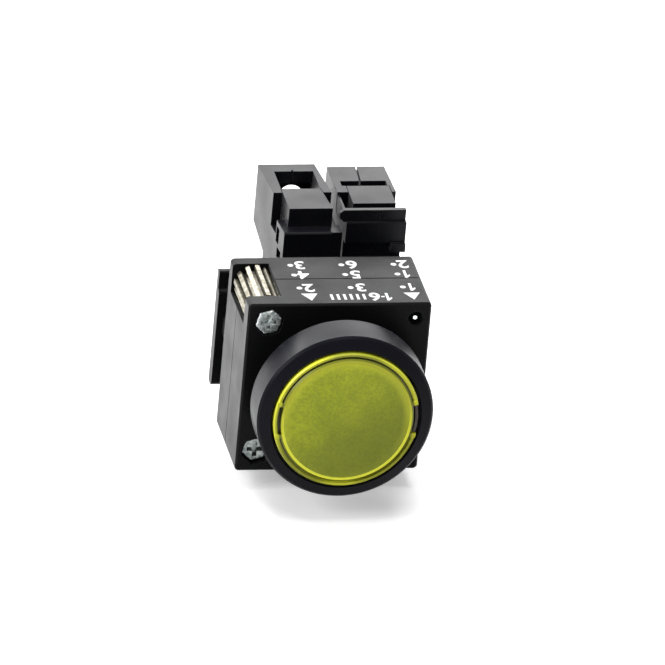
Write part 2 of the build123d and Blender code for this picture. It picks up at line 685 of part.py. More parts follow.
# Bayonet-cap signal lamp.
with BuildPart() as lamp_cap:
    rod(0, 0, cap_r, holder_d - 13.5, holder_d - 0.2)
    rod(0, 0, cap_r - 0.3, holder_d - 14.0, holder_d - 0.5, mode=Mode.SUBTRACT)
    rod(0, 0, 2.1, holder_d - 1, holder_d + 1, mode=Mode.SUBTRACT)
    for side in (-1, 1):
        with Locations((side * (cap_r + 0.15), snout_y + 4.4, 0)):
            Cylinder(0.9, 0.7, rotation=(0, 90, 0))

with BuildPart() as lamp_insulator:
    rod(0, 0, cap_r - 0.3, holder_d - 1.5, holder_d - 0.5)
    rod(0, 0, 2.05, holder_d - 1.0, holder_d + 0.2)
    rod(0, 0, 1.4, holder_d, holder_d + 0.8)

# glass bulb: share of its radius, and distance from its tip
bulb_outline = (
    (0, 0), (0.43, 0.45), (0.77, 1.6), (0.97, 3.6), (1.0, 5.7), (0.98, 7.7), (0.872, 9.8), (0.872, 14.2),
)
with BuildPart() as lamp_glass:
    with BuildSketch(Plane.XY):
        outside = [(bulb_r * r, glass_y + y) for r, y in bulb_outline]
        inside = [((bulb_r - glass_t) * r, glass_y + 0.5 + 0.908 * y) for r, y in bulb_outline]
        Polygon(*outside, (0, outside[-1][1]), (0, inside[-1][1]), *reversed(inside[1:]), inside[0],
                align=None)
    revolve(axis=Axis.Y)

with BuildPart() as lamp_filament:
    for side in (-1, 1):
        rod(0, side * 1.7, 0.2, glass_y + 5.2, glass_y + 13.4)
    with Locations((0, glass_y + 5.2, 0)):
        Cylinder(0.3, 3.8)

# ================================================================ contact block
with BuildPart() as contact_front_housing:
    slab(contact_left[0], contact_right[0], holder_d, contact_body_y + 1, -nose_z, nose_z)
    with BuildSketch(Plane.XY.offset(-body_z)):
        Polygon((contact_left[0], contact_body_y), (contact_left[1], split_y), (contact_right[1], split_y),
                (contact_right[0], contact_body_y), align=None)
    extrude(amount=2 * body_z)
    for side in (-1, 1):
        with BuildSketch(Plane.XY.offset(side * body_z)):
            Polygon(*plate_outline(contact_plate, 0), align=None)
        extrude(amount=side * (tower_z - body_z))
        slab(contact_left[0], contact_left[0] + 0.4, contact_body_y + 1.6, split_y,
             *sorted((side * (body_z - 1), side * 17.9)))
    slab(contact_in0, contact_in1, cavity_y0, split_y + 1, -cavity_z, cavity_z, mode=Mode.SUBTRACT)
    slab(contact_in0, stem_x1 + 0.3, holder_d - 1, cavity_y0 + 1, -arm_z - 0.3, arm_z + 0.3,
         mode=Mode.SUBTRACT)
    hooks(bay_x[2])

contact_rear_housing = rear_housing(
    contact_x, contact_left, contact_right, contact_in0, contact_in1, contact_tower_y, contact_plate,
    contact_wire_y,
    ((contact_x - 0.5, contact_wire_y - 1), (contact_x, contact_tower_y + 1),
     (contact_x + 0.3, contact_tower_y + 1), (contact_x - 0.2, contact_wire_y - 1)),
    groove_d,
)


def contact_cover(side, has_lip):
    """Cap over the front edge of the contact block; the upper one has a lip to pull it off."""
    x0 = contact_left[0]
    x1 = contact_right[0] + 0.4
    y0 = contact_body_y - 1.3
    with BuildPart() as cover:
        slab(x0, x1, y0, contact_body_y, *sorted((side * 13.45, side * 17.1)))
        slab(x1 - 2.4, x1, y0 - 0.7, contact_body_y, *sorted((side * 12.1, side * 13.5)))
        slab(x0, x1, contact_body_y - 0.1, contact_body_y + 1.55, *sorted((side * body_z, side * 17.1)))
        if has_lip:
            with BuildSketch(across(contact_body_y - 0.7)):
                Polygon((x0 - 0.4, side * 17.0), (x0 - 1.07, side * 17.7), (x0 - 1.07, side * 18.6),
                        (x0 - 0.5, side * 19.1), (x1 - 0.1, side * 19.1), (x1 - 0.1, side * 17.0), align=None)
            extrude(amount=-0.85)
    return cover.part


with BuildPart() as contact_plunger:
    slab(stem_x0, stem_x1, plunger_y0, carriage_y0 + 1, -arm_z, arm_z)
    slab(stem_x0, carriage_x1, carriage_y0, carriage_y1, -carriage_z, carriage_z)
    slab(stem_x0, stem_x0 + rail_w, carriage_y1, bar_y0 + bar_t, -carriage_z, carriage_z)
    slab(carriage_x1 - rail_w, carriage_x1, carriage_y1, bar_y0 + bar_t, -carriage_z, carriage_z)
    slab(stem_x0, carriage_x1, bar_y0, bar_y0 + bar_t, -carriage_z, carriage_z)

with BuildPart() as contact_bridge:
    slab(contact_x - bridge_half_w, contact_x + bridge_half_w, bridge_y1 - bridge_t, bridge_y1,
         -bridge_z, bridge_z)
    for side in (-1, 1):
        rod(contact_x, side * rivet_z, rivet_r, bridge_y1 - 0.1, bridge_y1 + rivet_t)


def contact_terminal(side):
    """Fixed contact with its silver rivet and screw terminal."""
    with BuildPart() as terminal:
        terminal_block(contact_x, side)
        slab(contact_x - 1.6, contact_x + 1.6, terminal_y0, terminal_y0 + terminal_t,
             *sorted((side * 4.4, side * cavity_z)))
        rod(contact_x, side * rivet_z, rivet_r, bridge_y1 + rivet_t + bridge_travel + touch_gap,
            terminal_y0 + 0.2)
    return terminal.part


contact_spring = coil(carriage_y1 + touch_gap, bridge_y1 - bridge_t - touch_gap, 1.3, 0.35, 5, x=contact_x)
plunger_spring = coil(bar_y0 + bar_t + touch_gap, cavity_y1 - touch_gap, 1.6, 0.3, 3, x=contact_x)
contact_clamps = clamp_plates(contact_x, contact_clamp_y)
contact_screws = terminal_screws(contact_x, contact_clamp_y)

# ================================================================ parts list
pieces = {
    "lens_cap": lens_cap.part,
    "legend_disc": legend_disc.part,
    "button_carrier": button_carrier.part,
    "bezel_ring": bezel_ring.part,
    "actuator_body": actuator_body.part,
    "panel_gasket": panel_gasket.part,
    "spring_seat": spring_seat.part,
    "return_spring": return_spring,
    "holder_front_frame": holder_front_frame.part,
    "holder_rear_frame": holder_rear_frame.part,
    "locking_ring": locking_ring.part,
    "clamp_spindle_upper": clamp_spindle(upper_clamp),
    "clamp_spindle_lower": clamp_spindle(lower_clamp),
    "clamp_foot_upper": clamp_foot(upper_clamp),
    "clamp_foot_lower": clamp_foot(lower_clamp),
    "frame_screws": frame_screws.part,
    "lamp_front_housing": lamp_front_housing.part,
    "lamp_rear_housing": lamp_rear_housing,
    "lamp_terminal_upper": lamp_terminal_upper.part,
    "lamp_terminal_lower": lamp_terminal_lower.part,
    "lamp_clamps": lamp_clamps,
    "lamp_screws": lamp_screws,
    "lamp_socket": lamp_socket.part,
    "lamp_centre_contact": lamp_centre_contact.part,
    "lamp_contact_spring": lamp_contact_spring,
    "lamp_cap": lamp_cap.part,
    "lamp_insulator": lamp_insulator.part,
    "lamp_glass": lamp_glass.part,
    "lamp_filament": lamp_filament.part,
    "contact_front_housing": contact_front_housing.part,
    "contact_rear_housing": contact_rear_housing,
    "contact_cover_upper": contact_cover(1, True),
    "contact_cover_lower": contact_cover(-1, False),
    "contact_plunger": contact_plunger.part,
    "contact_bridge": contact_bridge.part,
    "contact_terminal_upper": contact_terminal(1),
    "contact_terminal_lower": contact_terminal(-1),
    "contact_spring": contact_spring,
    "plunger_spring": plunger_spring,
    "contact_clamps": contact_clamps,
    "contact_screws": contact_screws,
}

for name, piece in pieces.items():
    piece.label = name
    export_step(piece, "parts/" + name + ".step")
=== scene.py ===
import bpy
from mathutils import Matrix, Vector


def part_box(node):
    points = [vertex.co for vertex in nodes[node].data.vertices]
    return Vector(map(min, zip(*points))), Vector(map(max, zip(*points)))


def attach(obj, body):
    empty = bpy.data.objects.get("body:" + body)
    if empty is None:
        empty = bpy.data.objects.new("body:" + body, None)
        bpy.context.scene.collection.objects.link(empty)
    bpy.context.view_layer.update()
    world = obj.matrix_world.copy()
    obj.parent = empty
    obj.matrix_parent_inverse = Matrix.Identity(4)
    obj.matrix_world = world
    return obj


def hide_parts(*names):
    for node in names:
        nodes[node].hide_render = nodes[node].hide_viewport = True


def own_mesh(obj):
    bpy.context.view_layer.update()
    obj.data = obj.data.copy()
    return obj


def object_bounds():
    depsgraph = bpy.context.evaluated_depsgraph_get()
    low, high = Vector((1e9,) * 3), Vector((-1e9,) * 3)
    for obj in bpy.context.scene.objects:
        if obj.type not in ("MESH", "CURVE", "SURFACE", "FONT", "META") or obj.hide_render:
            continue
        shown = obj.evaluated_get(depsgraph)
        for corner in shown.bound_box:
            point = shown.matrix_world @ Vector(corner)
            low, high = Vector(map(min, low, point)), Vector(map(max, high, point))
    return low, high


bl_info = {
    "name": "Illuminated pushbutton",
    "version": (1, 0, 0),
    "blender": (4, 5, 0),
    "location": "View3D > Sidebar > Pushbutton",
    "description": "Finishes, markings and stage of a panel pushbutton with its holder and blocks",
    "category": "Object",
}

import math

import bmesh
import bpy
from bpy.props import FloatProperty, FloatVectorProperty, PointerProperty, StringProperty
from mathutils import Matrix, Vector

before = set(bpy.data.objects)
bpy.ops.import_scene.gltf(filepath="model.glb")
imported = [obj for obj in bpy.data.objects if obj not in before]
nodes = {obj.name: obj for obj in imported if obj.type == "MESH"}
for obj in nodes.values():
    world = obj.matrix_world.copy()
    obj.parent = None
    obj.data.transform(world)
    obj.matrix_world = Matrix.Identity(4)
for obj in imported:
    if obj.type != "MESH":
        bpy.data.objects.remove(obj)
cad_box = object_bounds()

MM = 0.001
INK_THICKNESS = 0.012 * MM
CAP_RIM_WIDTH = 0.9 * MM  # from the raised face to the outside of the cap
EDGE_SAMPLES = 6
RECESS_SAMPLES = 8

holder_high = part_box("holder_front_frame")[1]
cap_low, cap_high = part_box("lens_cap")
PRINT_Z = holder_high.z + INK_THICKNESS
CAP_FACE_Y = cap_low.y
CAP_FACE_R = cap_high.x - CAP_RIM_WIDTH
OUTSIDE_CAP = 13 * MM


# ---------------------------------------------------------------- shared helpers
def linear(hex_colour):
    """Linear RGBA of an sRGB hex colour."""
    out = []
    for i in (1, 3, 5):
        c = int(hex_colour[i:i + 2], 16) / 255
        out.append(c / 12.92 if c <= 0.04045 else ((c + 0.055) / 1.055) ** 2.4)
    return (*out, 1.0)


def add(tree, kind, values=None, links=None, **settings):
    """Add a node, set its settings and socket values, and link its sockets."""
    made = tree.nodes.new(kind)
    for name, value in settings.items():
        setattr(made, name, value)
    for socket, value in (values or {}).items():
        made.inputs[socket].default_value = value
    for socket, source in (links or {}).items():
        tree.links.new(source, made.inputs[socket])
    return made


def new_material(name):
    """Empty node material."""
    material = bpy.data.materials.new(name)
    material.use_nodes = True
    material.node_tree.nodes.clear()
    return material


def give(material, *names):
    """Put one material on CAD nodes."""
    for name in names:
        slots = nodes[name].data.materials
        slots.clear()
        slots.append(material)


def finished(name, make):
    """The material of that name, made once."""
    return bpy.data.materials.get(name) or make(name)


# ---------------------------------------------------------------- materials
def moulded(name, body, grain_and_edge_highlight, roughness, specular, dust, grain_mm, grain_depth_mm, edge_mm):
    """Injection-moulded plastic or pressed rubber: the grain of its mould, slow changes of
    gloss where the melt flowed, a painted highlight that makes its edges a little lighter,
    and a film of dust that greys it in raking light. A real mould's grain is several times finer
    than this, which is drawn coarse enough to show."""
    material = new_material(name)
    tree = material.node_tree
    place = add(tree, "ShaderNodeTexCoord")
    grain = add(tree, "ShaderNodeTexNoise", {"Scale": 1 / (grain_mm * MM), "Detail": 2.0, "Roughness": 0.6},
                {"Vector": place.outputs["Object"]})
    flow = add(tree, "ShaderNodeTexNoise", {"Scale": 1 / (7.0 * MM), "Detail": 3.0, "Roughness": 0.55},
               {"Vector": place.outputs["Object"]})
    edge = add(tree, "ShaderNodeBevel", {"Radius": edge_mm * MM}, samples=EDGE_SAMPLES)
    face = add(tree, "ShaderNodeNewGeometry")
    turn = add(tree, "ShaderNodeVectorMath", None,
               {0: edge.outputs["Normal"], 1: face.outputs["Normal"]}, operation="DOT_PRODUCT")
    # painted highlight: where the bevelled normal turns away from the face's own, at edges, the colour goes
    # towards the lighter tint
    edge_highlight = add(tree, "ShaderNodeMapRange",
                 {"From Min": 0.985, "From Max": 0.80, "To Min": 0.0, "To Max": 0.8},
                 {"Value": turn.outputs["Value"]})
    patchy_edge_highlight = add(tree, "ShaderNodeMath", None,
                 {0: edge_highlight.outputs["Result"], 1: flow.outputs["Fac"]}, operation="MULTIPLY")
    tint = add(tree, "ShaderNodeMapRange",
               {"From Min": 0.3, "From Max": 0.7, "To Min": 0.0, "To Max": 0.35},
               {"Value": grain.outputs["Fac"]})
    total = add(tree, "ShaderNodeMath", None,
                {0: patchy_edge_highlight.outputs["Value"], 1: tint.outputs["Result"]}, operation="ADD", use_clamp=True)
    colour = add(tree, "ShaderNodeMixRGB", {"Color1": linear(body), "Color2": linear(grain_and_edge_highlight)},
                 {"Fac": total.outputs["Value"]})
    gloss = add(tree, "ShaderNodeMapRange",
                {"From Min": 0.3, "From Max": 0.7, "To Min": roughness - 0.05, "To Max": roughness + 0.07},
                {"Value": flow.outputs["Fac"]})
    relief = add(tree, "ShaderNodeBump", {"Strength": 0.6, "Distance": grain_depth_mm * MM},
                 {"Height": grain.outputs["Fac"], "Normal": edge.outputs["Normal"]})
    surface = add(tree, "ShaderNodeBsdfPrincipled",
                  {"IOR": 1.5, "Specular IOR Level": specular, "Sheen Weight": dust, "Sheen Roughness": 0.3},
                  {"Base Color": colour.outputs["Color"], "Roughness": gloss.outputs["Result"],
                   "Normal": relief.outputs["Normal"]})
    add(tree, "ShaderNodeOutputMaterial", None, {"Surface": surface.outputs["BSDF"]})
    return material


def holder_plastic(name):
    # Glass-filled polyamide straight from a spark-eroded mould: charcoal, matt, greys in raking light.
    return moulded(name, body="#08080a", grain_and_edge_highlight="#242424", roughness=0.36, specular=0.07, dust=0.2,
                   grain_mm=0.28, grain_depth_mm=0.012, edge_mm=0.14)


def bezel_plastic(name):
    # Polyamide from a finer mould: blacker, a little bluish, with a soft sheen on the rounded ring.
    return moulded(name, body="#06060e", grain_and_edge_highlight="#191924", roughness=0.32, specular=0.08, dust=0.14,
                   grain_mm=0.22, grain_depth_mm=0.008, edge_mm=0.16)


def block_plastic(name):
    # Polyester from a smoother mould: black with sharper highlights on its thin ribs.
    return moulded(name, body="#07070c", grain_and_edge_highlight="#1e1e24", roughness=0.3, specular=0.15, dust=0.12,
                   grain_mm=0.3, grain_depth_mm=0.008, edge_mm=0.1)


def carrier_plastic(name):
    # Grey acetal: waxy, slightly brown where it shows beside the yellow cap.
    return moulded(name, body="#5a524c", grain_and_edge_highlight="#7a726c", roughness=0.42, specular=0.3, dust=0.0,
                   grain_mm=0.35, grain_depth_mm=0.005, edge_mm=0.1)


def diffuser_plastic(name):
    # Opal polycarbonate: milky white, evenly matt.
    return moulded(name, body="#dcdad2", grain_and_edge_highlight="#f0eee8", roughness=0.5, specular=0.4, dust=0.0,
                   grain_mm=0.3, grain_depth_mm=0.004, edge_mm=0.08)


def seal_rubber(name):
    # Nitrile rubber, pressed: dull black with no clear highlight.
    return moulded(name, body="#101010", grain_and_edge_highlight="#1f1f1f", roughness=0.72, specular=0.2, dust=0.02,
                   grain_mm=0.2, grain_depth_mm=0.01, edge_mm=0.1)


def plated(name, bright, dull, roughness, grain_mm, scratch_mm, edge_mm, recess_shade, reach_mm):
    """Plated metal: a bright coat over a slightly rough blank, with fine scratches, dull
    spots, and painted shade that darkens its recesses as far as the reach."""
    material = new_material(name)
    tree = material.node_tree
    place = add(tree, "ShaderNodeTexCoord")
    stretch = add(tree, "ShaderNodeMapping", {"Scale": (1.0, 0.12, 1.0)},
                  {"Vector": place.outputs["Object"]})
    blank = add(tree, "ShaderNodeTexNoise", {"Scale": 1 / (grain_mm * MM), "Detail": 4.0, "Roughness": 0.6},
                {"Vector": place.outputs["Object"]})
    lines = add(tree, "ShaderNodeTexNoise",
                {"Scale": 1 / (scratch_mm * MM), "Detail": 2.0, "Roughness": 0.7},
                {"Vector": stretch.outputs["Vector"]})
    spots = add(tree, "ShaderNodeMapRange", {"From Min": 0.38, "From Max": 0.62},
                {"Value": blank.outputs["Fac"]})
    colour = add(tree, "ShaderNodeMixRGB", {"Color1": linear(bright), "Color2": linear(dull)},
                 {"Fac": spots.outputs["Result"]})
    # painted shade: where ambient occlusion finds the surface sheltered, the colour goes towards the recess
    # colour
    open_air = add(tree, "ShaderNodeAmbientOcclusion", {"Distance": reach_mm * MM}, samples=RECESS_SAMPLES)
    recess_shade_amount = add(tree, "ShaderNodeMapRange", {"From Min": 0.75, "From Max": 0.25},
                    {"Value": open_air.outputs["AO"]})
    recess_shaded = add(tree, "ShaderNodeMixRGB", {"Color2": linear(recess_shade)},
                  {"Fac": recess_shade_amount.outputs["Result"], "Color1": colour.outputs["Color"]})
    gloss = add(tree, "ShaderNodeMapRange",
                {"From Min": 0.3, "From Max": 0.7, "To Min": roughness - 0.08, "To Max": roughness + 0.1},
                {"Value": lines.outputs["Fac"]})
    edge = add(tree, "ShaderNodeBevel", {"Radius": edge_mm * MM}, samples=EDGE_SAMPLES)
    relief = add(tree, "ShaderNodeBump", {"Strength": 0.5, "Distance": 0.01 * MM},
                 {"Height": lines.outputs["Fac"], "Normal": edge.outputs["Normal"]})
    surface = add(tree, "ShaderNodeBsdfPrincipled", {"Metallic": 1.0},
                  {"Base Color": recess_shaded.outputs["Color"], "Roughness": gloss.outputs["Result"],
                   "Normal": relief.outputs["Normal"]})
    add(tree, "ShaderNodeOutputMaterial", None, {"Surface": surface.outputs["BSDF"]})
    return material


# In each plated finish below, the recess colour is painted shade in its hollows and gaps.
def zinc_plate(name):
    # Steel, zinc plated and passivated: bright, faintly green, with small sharp glints.
    return plated(name, bright="#f6fcfa", dull="#a3adab", roughness=0.34, grain_mm=0.8,
                  scratch_mm=0.25, edge_mm=0.1, recess_shade="#141716", reach_mm=0.6)


def shaded_plate(name):
    # The same zinc coat painted darker and duller: painted shade on the foot that sits in the shade of the
    # bezel.
    return plated(name, bright="#a6acaa", dull="#6c7473", roughness=0.4, grain_mm=0.8,
                  scratch_mm=0.25, edge_mm=0.1, recess_shade="#0e0f10", reach_mm=0.6)


def glint_plate(name):
    # The same plating made lighter, as a painted highlight, on a turned screw tip down in its hole.
    return plated(name, bright="#f6fcfa", dull="#dfe6e4", roughness=0.25, grain_mm=0.8,
                  scratch_mm=0.25, edge_mm=0.1, recess_shade="#5c6260", reach_mm=0.1)


def cast_plate(name):
    # Zinc die casting, nickel plated: warmer and duller than the steel screws.
    return plated(name, bright="#aeab9e", dull="#7e7869", roughness=0.5, grain_mm=0.7,
                  scratch_mm=0.15, edge_mm=0.1, recess_shade="#0c0b09", reach_mm=0.9)


def spring_wire(name):
    # Drawn stainless wire: smooth and grey, with lines along its length.
    return plated(name, bright="#b9b9b6", dull="#8d8d8a", roughness=0.25, grain_mm=0.8,
                  scratch_mm=0.1, edge_mm=0.02, recess_shade="#4a4a48", reach_mm=0.3)


def brass_strip(name):
    # Stamped brass strip: yellow, with darker spots where it has tarnished.
    return plated(name, bright="#d3b269", dull="#a8843f", roughness=0.32, grain_mm=0.9,
                  scratch_mm=0.12, edge_mm=0.05, recess_shade="#5a4422", reach_mm=0.4)


def nickel_shell(name):
    # Deep-drawn brass, nickel plated: mirror-like with drawing lines.
    return plated(name, bright="#d4cfc6", dull="#aba69c", roughness=0.2, grain_mm=1.0,
                  scratch_mm=0.1, edge_mm=0.05, recess_shade="#6b665c", reach_mm=0.3)


def between(tree, value, low, high, soft):
    """1 where a value lies between two limits, with soft ends."""
    rise = add(tree, "ShaderNodeMapRange",
               {"From Min": low - soft, "From Max": low + soft}, {"Value": value})
    fall = add(tree, "ShaderNodeMapRange",
               {"From Min": high + soft, "From Max": high - soft}, {"Value": value})
    both = add(tree, "ShaderNodeMath", None,
               {0: rise.outputs["Result"], 1: fall.outputs["Result"]}, operation="MULTIPLY")
    return both.outputs["Value"]


# Zones of the cap, measured outwards from the edge of its raised face.
BRIM_START, FACE_LINE_END, RIM_LINE_START = -0.45 * MM, 0.02 * MM, 0.5 * MM
GROOVE_START, GROOVE_END = -0.01 * MM, 0.46 * MM
SLIT_START, SLIT_END, SLIT_HALF_ANGLE = -0.24 * MM, 0.41 * MM, math.radians(12.6)
UNLIT_DEPTH = 0.24 * MM
OUTER_START, OUTER_END = -1.9 * MM, -0.4 * MM
# DIM_STRETCHES: where the rim's painted highlight is dimmer
DIM_STRETCHES = ((70, 118), (-76, -22), (-164, -104))  # of the rim, in degrees up from its left


def yellow_cap(name):
    # Tinted acrylic, moulded with a fine prism pattern inside: olive where the dark
    # inside shows through. Its bright yellow edges are painted highlights, and the dark
    # in the groove and the slit is painted shade, for the unlit wall they look into.
    # Prisms and flecks are drawn coarser than real ones, so that they show.
    look = bpy.context.scene.button_look
    dark, light, shaded_tint = (*look.face_dark, 1.0), (*look.face_light, 1.0), (*look.face_shaded, 1.0)
    bright, dull, unlit_tint = (*look.rim_colour, 1.0), (*look.rim_dull, 1.0), (*look.groove_painted_shade, 1.0)
    material = new_material(name)
    tree = material.node_tree
    place = add(tree, "ShaderNodeTexCoord")
    parts = add(tree, "ShaderNodeSeparateXYZ", None, {"Vector": place.outputs["Object"]})
    flat = add(tree, "ShaderNodeCombineXYZ", None, {"X": parts.outputs["X"], "Y": parts.outputs["Z"]})
    out = add(tree, "ShaderNodeVectorMath", None, {0: flat.outputs["Vector"]},
              operation="LENGTH").outputs["Value"]
    inward = add(tree, "ShaderNodeMath", {1: -1.0}, {0: parts.outputs["X"]}, operation="MULTIPLY")
    around = add(tree, "ShaderNodeMath", None, {0: parts.outputs["Z"], 1: inward.outputs["Value"]},
                 operation="ARCTAN2").outputs["Value"]

    # the face: cloudy, flecked, with painted shade darker to its lower right, lighter over the mould's gate
    cloud = add(tree, "ShaderNodeTexNoise", {"Scale": 1 / (6.0 * MM), "Detail": 5.0, "Roughness": 0.6},
                {"Vector": place.outputs["Object"]})
    mottled = add(tree, "ShaderNodeMapRange", {"From Min": 0.32, "From Max": 0.68},
                  {"Value": cloud.outputs["Fac"]})
    face = add(tree, "ShaderNodeMixRGB", {"Color1": dark, "Color2": light},
               {"Fac": mottled.outputs["Result"]})
    fleck = add(tree, "ShaderNodeTexNoise", {"Scale": 1 / (0.45 * MM), "Detail": 2.0, "Roughness": 0.7},
                {"Vector": place.outputs["Object"]})
    pattern = add(tree, "ShaderNodeMapRange",
                  {"From Min": 0.4, "From Max": 0.6, "To Min": 0.0, "To Max": 0.28},
                  {"Value": fleck.outputs["Fac"]})
    flecked = add(tree, "ShaderNodeMixRGB", {"Color2": shaded_tint},
                  {"Fac": pattern.outputs["Result"], "Color1": face.outputs["Color"]})
    lean = add(tree, "ShaderNodeVectorMath", {1: (0.6, -0.8, 0.0)}, {0: flat.outputs["Vector"]},
               operation="DOT_PRODUCT")
    shade = add(tree, "ShaderNodeMapRange",
                {"From Min": -8.0 * MM, "From Max": 8.0 * MM, "To Min": 0.0, "To Max": 0.7},
                {"Value": lean.outputs["Value"]}, interpolation_type="SMOOTHSTEP")
    shaded = add(tree, "ShaderNodeMixRGB", {"Color2": shaded_tint},
                 {"Fac": shade.outputs["Result"], "Color1": flecked.outputs["Color"]})
    gate = add(tree, "ShaderNodeMapRange",
               {"From Min": 1.6 * MM, "From Max": 0.2 * MM, "To Min": 0.0, "To Max": 0.35},
               {"Value": out}, interpolation_type="SMOOTHSTEP")
    gated = add(tree, "ShaderNodeMixRGB", {"Color2": linear("#c3cb3a")},
                {"Fac": gate.outputs["Result"], "Color1": shaded.outputs["Color"]})

    # painted highlight on the face's outer part, stronger towards the top
    outer = add(tree, "ShaderNodeMapRange",
                {"From Min": CAP_FACE_R + OUTER_START, "From Max": CAP_FACE_R + OUTER_END,
                 "To Min": 0.0, "To Max": 0.6},
                {"Value": out}, interpolation_type="SMOOTHSTEP")
    upward = add(tree, "ShaderNodeMapRange", {"From Min": -6.0 * MM, "From Max": 1.0 * MM, "To Min": 0.1},
                 {"Value": parts.outputs["Z"]})
    lit = add(tree, "ShaderNodeMath", None,
              {0: outer.outputs["Result"], 1: upward.outputs["Result"]}, operation="MULTIPLY")
    edge_lit = add(tree, "ShaderNodeMixRGB", {"Color2": bright},
                   {"Fac": lit.outputs["Value"], "Color1": gated.outputs["Color"]})

    # the brim: painted highlights, a line at the face's edge and one along the rim, dim in three stretches
    brim = between(tree, out, CAP_FACE_R + BRIM_START, OUTSIDE_CAP, 0.05 * MM)
    face_line = between(tree, out, CAP_FACE_R + BRIM_START, CAP_FACE_R + FACE_LINE_END, 0.04 * MM)
    low = add(tree, "ShaderNodeMapRange", {"From Min": 3.0 * MM, "From Max": -3.0 * MM, "To Min": 0.75},
              {"Value": parts.outputs["Z"]})
    low_line = add(tree, "ShaderNodeMath", None, {0: face_line, 1: low.outputs["Result"]},
                   operation="MULTIPLY")
    glow = between(tree, out, CAP_FACE_R + RIM_LINE_START, OUTSIDE_CAP, 0.06 * MM)
    for start, end in DIM_STRETCHES:
        dim = between(tree, around, math.radians(start), math.radians(end), math.radians(8))
        kept = add(tree, "ShaderNodeMapRange", {"To Min": 1.0, "To Max": 0.3}, {"Value": dim})
        glow = add(tree, "ShaderNodeMath", None,
                   {0: glow, 1: kept.outputs["Result"]}, operation="MULTIPLY").outputs["Value"]
    gathered = add(tree, "ShaderNodeMath", None, {0: glow, 1: low_line.outputs["Value"]},
                   operation="MAXIMUM")
    rim = add(tree, "ShaderNodeMixRGB", {"Color1": dull, "Color2": bright},
              {"Fac": gathered.outputs["Value"]})
    edged = add(tree, "ShaderNodeMixRGB", None,
                {"Fac": brim, "Color1": edge_lit.outputs["Color"], "Color2": rim.outputs["Color"]})

    # painted shade at the bottom of the ring groove and of the slit on the left
    groove = between(tree, out, CAP_FACE_R + GROOVE_START, CAP_FACE_R + GROOVE_END, 0.04 * MM)
    slit_side = between(tree, around, -SLIT_HALF_ANGLE, SLIT_HALF_ANGLE, math.radians(0.4))
    slit_ring = between(tree, out, CAP_FACE_R + SLIT_START, CAP_FACE_R + SLIT_END, 0.04 * MM)
    slit = add(tree, "ShaderNodeMath", None, {0: slit_side, 1: slit_ring}, operation="MULTIPLY")
    deep = add(tree, "ShaderNodeMath", None, {0: groove, 1: slit.outputs["Value"]}, operation="MAXIMUM")
    below = between(tree, parts.outputs["Y"], CAP_FACE_Y + UNLIT_DEPTH, 1.0, 0.04 * MM)
    unlit = add(tree, "ShaderNodeMath", None, {0: deep.outputs["Value"], 1: below}, operation="MULTIPLY")
    colour = add(tree, "ShaderNodeMixRGB", {"Color2": unlit_tint},
                 {"Fac": unlit.outputs["Value"], "Color1": edged.outputs["Color"]})

    # the prisms, and a painted glow: emission along the lower part of the face's edge
    prism = add(tree, "ShaderNodeTexVoronoi", {"Scale": 1 / (0.55 * MM), "Randomness": 0.35},
                {"Vector": flat.outputs["Vector"]}, feature="F1")
    relief = add(tree, "ShaderNodeBump", {"Strength": 0.25, "Distance": 0.03 * MM},
                 {"Height": prism.outputs["Distance"]})
    painted_glow = add(tree, "ShaderNodeMapRange", {"From Min": 0.75, "To Max": 0.22},
                  {"Value": low_line.outputs["Value"]})
    surface = add(tree, "ShaderNodeBsdfPrincipled",
                  {"IOR": 1.49, "Roughness": 0.28, "Specular IOR Level": 0.28, "Subsurface Weight": 0.12,
                   "Subsurface Radius": (0.9, 0.9, 0.1), "Subsurface Scale": 0.4 * MM,
                   "Emission Color": bright},
                  {"Base Color": colour.outputs["Color"], "Normal": relief.outputs["Normal"],
                   "Emission Strength": painted_glow.outputs["Result"]})
    add(tree, "ShaderNodeOutputMaterial", None, {"Surface": surface.outputs["BSDF"]})
    return material


def lamp_glass(name):
    # Soda glass, blown: clear, with slow waves that bend the lights in it.
    material = new_material(name)
    tree = material.node_tree
    place = add(tree, "ShaderNodeTexCoord")
    waves = add(tree, "ShaderNodeTexNoise", {"Scale": 1 / (3.0 * MM), "Detail": 1.0},
                {"Vector": place.outputs["Object"]})
    relief = add(tree, "ShaderNodeBump", {"Strength": 0.1, "Distance": 0.02 * MM},
                 {"Height": waves.outputs["Fac"]})
    surface = add(tree, "ShaderNodeBsdfPrincipled",
                  {"Base Color": linear("#f4f6f4"), "IOR": 1.52, "Roughness": 0.03,
                   "Transmission Weight": 1.0},
                  {"Normal": relief.outputs["Normal"]})
    add(tree, "ShaderNodeOutputMaterial", None, {"Surface": surface.outputs["BSDF"]})
    return material


def pad_ink(name):
    # White pad-printing ink: thin, matt, slightly broken where it met the mould grain,
    # which is drawn coarse enough to show.
    look = bpy.context.scene.marking_look
    material = new_material(name)
    tree = material.node_tree
    place = add(tree, "ShaderNodeTexCoord")
    grain = add(tree, "ShaderNodeTexNoise", {"Scale": 1 / (0.25 * MM), "Detail": 3.0},
                {"Vector": place.outputs["Object"]})
    thin = add(tree, "ShaderNodeMapRange",
               {"From Min": 0.4, "From Max": 0.75, "To Min": 0.0, "To Max": 0.5},
               {"Value": grain.outputs["Fac"]})
    colour = add(tree, "ShaderNodeMixRGB", {"Color1": (*look.ink, 1.0), "Color2": linear("#8b8b8b")},
                 {"Fac": thin.outputs["Result"]})
    surface = add(tree, "ShaderNodeBsdfPrincipled", {"Roughness": 0.6},
                  {"Base Color": colour.outputs["Color"]})
    add(tree, "ShaderNodeOutputMaterial", None, {"Surface": surface.outputs["BSDF"]})
    return material


